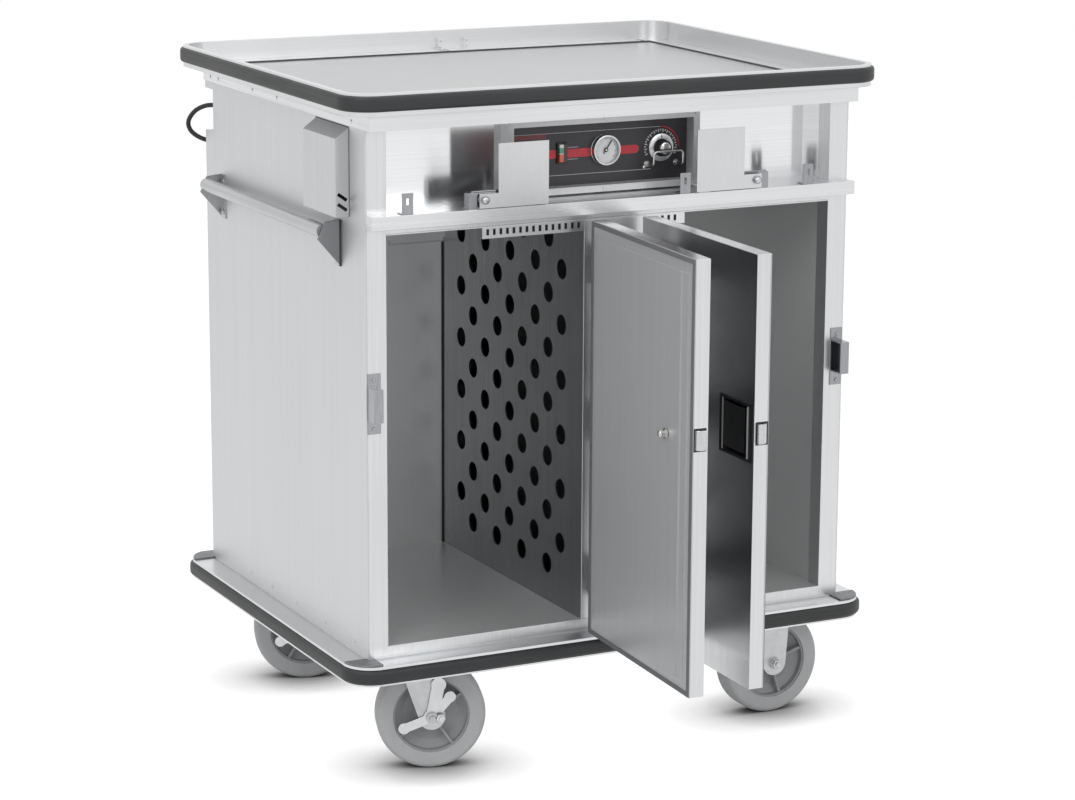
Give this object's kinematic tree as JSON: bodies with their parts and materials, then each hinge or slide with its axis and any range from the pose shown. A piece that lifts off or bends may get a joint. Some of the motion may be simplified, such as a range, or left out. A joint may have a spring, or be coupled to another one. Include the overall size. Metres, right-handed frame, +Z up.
{
  "type": "enclosed meal cart",
  "caption": "Enclosed insulated meal cart with hinged doors, perforated air duct, control bay, railed bumper top, push handle and swivel and fixed casters.",
  "frame": {"origin": "on the floor under the middle of the whole footprint, with the doors standing open and the power cord left out", "axes": "+X to the right along the front, -Y out of the front towards the user at the doors, +Z up"},
  "size_m": [1.084, 1.2933, 1.269],
  "materials": {
    "satin_sheet": "satin stainless side sheet",
    "white_enamel": "white enamel of the dial face and printed lines",
    "brushed_sheet": "brushed stainless sheet",
    "polished_sheet": "near-mirror stainless sheet",
    "dull_liner": "dull stainless inner sheet",
    "aluminium_trim": "satin extruded aluminium",
    "chromed_steel": "bright zinc or chrome plate",
    "dark_steel": "dark grey painted steel",
    "black_bumper": "matt black vinyl bumper",
    "black_plastic": "matt black moulded plastic",
    "printed_panel": "black printed control plate",
    "switch_red": "glossy switch plastic",
    "grey_seal": "grey door seal",
    "hub_plastic": "grey moulded hub",
    "grey_tread": "grey rubber tread",
    "cord_black": "black rubber-covered cord"
  },
  "bodies": {
    "cabinet": {"base_frame": "brushed_sheet", "base_bumper": "black_bumper", "base_plates": "dark_steel", "rigid_forks": "chromed_steel", "floor_panel": "satin_sheet", "side_panels": "satin_sheet", "back_panel": "satin_sheet", "front_frame": "brushed_sheet", "compartment_liners": "dull_liner", "divider_skins": "dull_liner", "return_grilles": "dull_liner", "ledge_channel": "brushed_sheet", "bay_walls": "polished_sheet", "top_band": "brushed_sheet", "top_tray": "brushed_sheet", "top_bumper": "black_bumper", "control_box": "brushed_sheet", "control_plate": "printed_panel", "gauge_case": "chromed_steel", "panel_fittings": "chromed_steel", "vent_hood": "satin_sheet", "push_handle": "aluminium_trim", "hinge_leaves": "chromed_steel", "latch_brackets": "chromed_steel", "door_strikes": "chromed_steel", "heater_unit": "dull_liner", "cord_gland": "black_plastic", "power_cord": "cord_black", "cord_coil": "cord_black", "power_plug": "black_plastic", "cord_hook": "chromed_steel"},
    "needle": {"gauge_needle": "black_plastic"},
    "knob": {"thermostat_knob": "black_plastic"},
    "rocker": {"power_rocker": "switch_red"},
    "left_flap": {"left_flap": "aluminium_trim"},
    "right_flap": {"right_flap": "aluminium_trim"},
    "left_door": {"left_door_shell": "brushed_sheet", "left_door_liner": "brushed_sheet", "left_door_gasket": "grey_seal", "left_latch_case": "black_plastic"},
    "left_paddle": {"left_latch_paddle": "black_plastic"},
    "left_bolt": {"left_latch_bolt": "chromed_steel"},
    "right_door": {"right_door_shell": "brushed_sheet", "right_door_liner": "brushed_sheet", "right_door_gasket": "grey_seal", "right_latch_case": "black_plastic"},
    "right_paddle": {"right_latch_paddle": "black_plastic"},
    "right_bolt": {"right_latch_bolt": "chromed_steel"},
    "front_fork": {"front_swivel_fork": "chromed_steel"},
    "rear_fork": {"rear_swivel_fork": "chromed_steel"},
    "front_brake": {"front_swivel_brake": "chromed_steel"},
    "rear_brake": {"rear_swivel_brake": "chromed_steel"},
    "front_swivel_wheel": {"front_swivel_hub": "hub_plastic", "front_swivel_tread": "grey_tread"},
    "rear_swivel_wheel": {"rear_swivel_hub": "hub_plastic", "rear_swivel_tread": "grey_tread"},
    "front_fixed_wheel": {"front_fixed_hub": "hub_plastic", "front_fixed_tread": "grey_tread"},
    "rear_fixed_wheel": {"rear_fixed_hub": "hub_plastic", "rear_fixed_tread": "grey_tread"}
  },
  "joints": [
    {"name": "left_door_swing", "type": "hinge", "parent": "cabinet", "child": "left_door", "pos_m": [-0.034, -0.21031, 0.633], "axis": [0, 0, 1], "range_deg": [-86.8, 3.2]},
    {"name": "right_door_swing", "type": "hinge", "parent": "cabinet", "child": "right_door", "pos_m": [0.034, -0.21031, 0.633], "axis": [0, 0, -1], "range_deg": [-91, 1]},
    {"name": "left_bolt_slide", "type": "slide", "parent": "left_door", "child": "left_bolt", "axis": [0.0558, 0.9984, 0], "range_m": [0, 0.008], "stiffness_N_per_m": 300, "springref_m": -0.003},
    {"name": "left_paddle_pull", "type": "hinge", "parent": "left_door", "child": "left_paddle", "pos_m": [-0.06085, -0.52931, 0.70333], "axis": [0, 0, 1], "range_deg": [0, 25]},
    {"name": "right_bolt_slide", "type": "slide", "parent": "right_door", "child": "right_bolt", "axis": [0.0175, 0.9998, 0], "range_m": [0, 0.008], "stiffness_N_per_m": 300, "springref_m": -0.003},
    {"name": "right_paddle_pull", "type": "hinge", "parent": "right_door", "child": "right_paddle", "pos_m": [0.03741, -0.53041, 0.70333], "axis": [0, 0, -1], "range_deg": [0, 25]},
    {"name": "left_flap_turn", "type": "hinge", "parent": "cabinet", "child": "left_flap", "pos_m": [-0.277, -0.21031, 1.069], "axis": [0, 1, 0], "range_deg": [0, 90]},
    {"name": "right_flap_turn", "type": "hinge", "parent": "cabinet", "child": "right_flap", "pos_m": [0.277, -0.21031, 1.069], "axis": [0, -1, 0], "range_deg": [0, 90]},
    {"name": "front_swivel", "type": "hinge", "parent": "cabinet", "child": "front_fork", "pos_m": [-0.378, -0.09131, 0.224], "axis": [0, 0, 1], "continuous": true},
    {"name": "front_swivel_roll", "type": "hinge", "parent": "front_fork", "child": "front_swivel_wheel", "pos_m": [-0.33722, -0.10495, 0.1015], "axis": [0.3173, 0.9483, 0], "continuous": true},
    {"name": "front_brake_press", "type": "hinge", "parent": "front_fork", "child": "front_brake", "pos_m": [-0.33722, -0.10495, 0.1015], "axis": [0.3173, 0.9483, 0], "range_deg": [0, 12]},
    {"name": "front_fixed_roll", "type": "hinge", "parent": "cabinet", "child": "front_fixed_wheel", "pos_m": [0.39, -0.09131, 0.1015], "axis": [0, 1, 0], "continuous": true},
    {"name": "rear_swivel", "type": "hinge", "parent": "cabinet", "child": "rear_fork", "pos_m": [-0.378, 0.51069, 0.224], "axis": [0, 0, 1], "continuous": true},
    {"name": "rear_swivel_roll", "type": "hinge", "parent": "rear_fork", "child": "rear_swivel_wheel", "pos_m": [-0.33722, 0.49705, 0.1015], "axis": [0.3173, 0.9483, 0], "continuous": true},
    {"name": "rear_brake_press", "type": "hinge", "parent": "rear_fork", "child": "rear_brake", "pos_m": [-0.33722, 0.49705, 0.1015], "axis": [0.3173, 0.9483, 0], "range_deg": [0, 12]},
    {"name": "rear_fixed_roll", "type": "hinge", "parent": "cabinet", "child": "rear_fixed_wheel", "pos_m": [0.39, 0.51069, 0.1015], "axis": [0, 1, 0], "continuous": true},
    {"name": "thermostat_turn", "type": "hinge", "parent": "cabinet", "child": "knob", "pos_m": [0.129, -0.12131, 1.125], "axis": [0, 1, 0], "range_deg": [0, 270]},
    {"name": "switch_rock", "type": "hinge", "parent": "cabinet", "child": "rocker", "pos_m": [-0.0755, -0.11431, 1.127], "axis": [1, 0, 0], "range_deg": [-7, 7]},
    {"name": "needle_turn", "type": "hinge", "parent": "cabinet", "child": "needle", "pos_m": [0.012, -0.11931, 1.128], "axis": [0, 1, 0], "range_deg": [-120, 120]}
  ],
  "couplings": [
    {"joint": "left_paddle_pull", "follows": "left_bolt_slide", "rad_per_m": 54.5},
    {"joint": "right_paddle_pull", "follows": "right_bolt_slide", "rad_per_m": 54.5}
  ]
}
